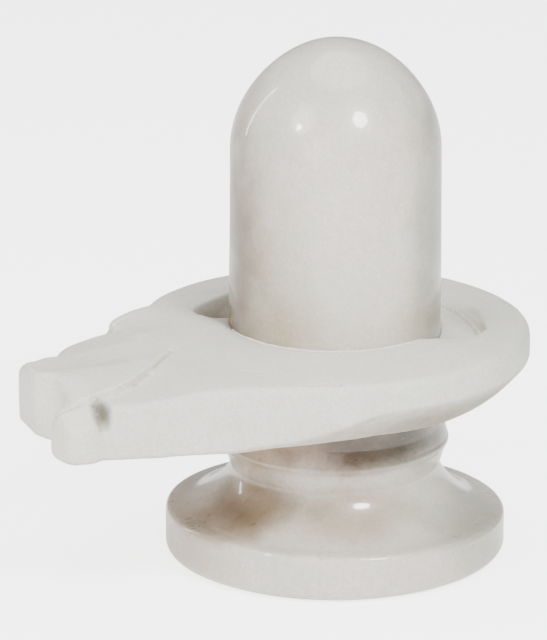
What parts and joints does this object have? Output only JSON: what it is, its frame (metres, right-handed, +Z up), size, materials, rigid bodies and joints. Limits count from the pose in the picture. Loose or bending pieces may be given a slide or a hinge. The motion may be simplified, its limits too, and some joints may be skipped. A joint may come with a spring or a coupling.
{
  "type": "shiva lingam",
  "caption": "Carved white marble shiva lingam: a domed shaft standing in a spouted yoni disc on a turned round pedestal.",
  "frame": {"origin": "centre of the pedestal's flat underside, on the surface that it stands on", "axes": "+Z up along the shaft's axis, the spout points along -X, +Y across it"},
  "size_m": [0.2355, 0.1812, 0.24],
  "materials": {
    "polished_marble": "polished white marble, faintly warm, low gloss wax shine",
    "honed_marble": "honed white marble with light tool marks"
  },
  "bodies": {
    "root": {"lingam": "polished_marble", "yoni": "honed_marble", "pedestal": "polished_marble"}
  },
  "joints": []
}
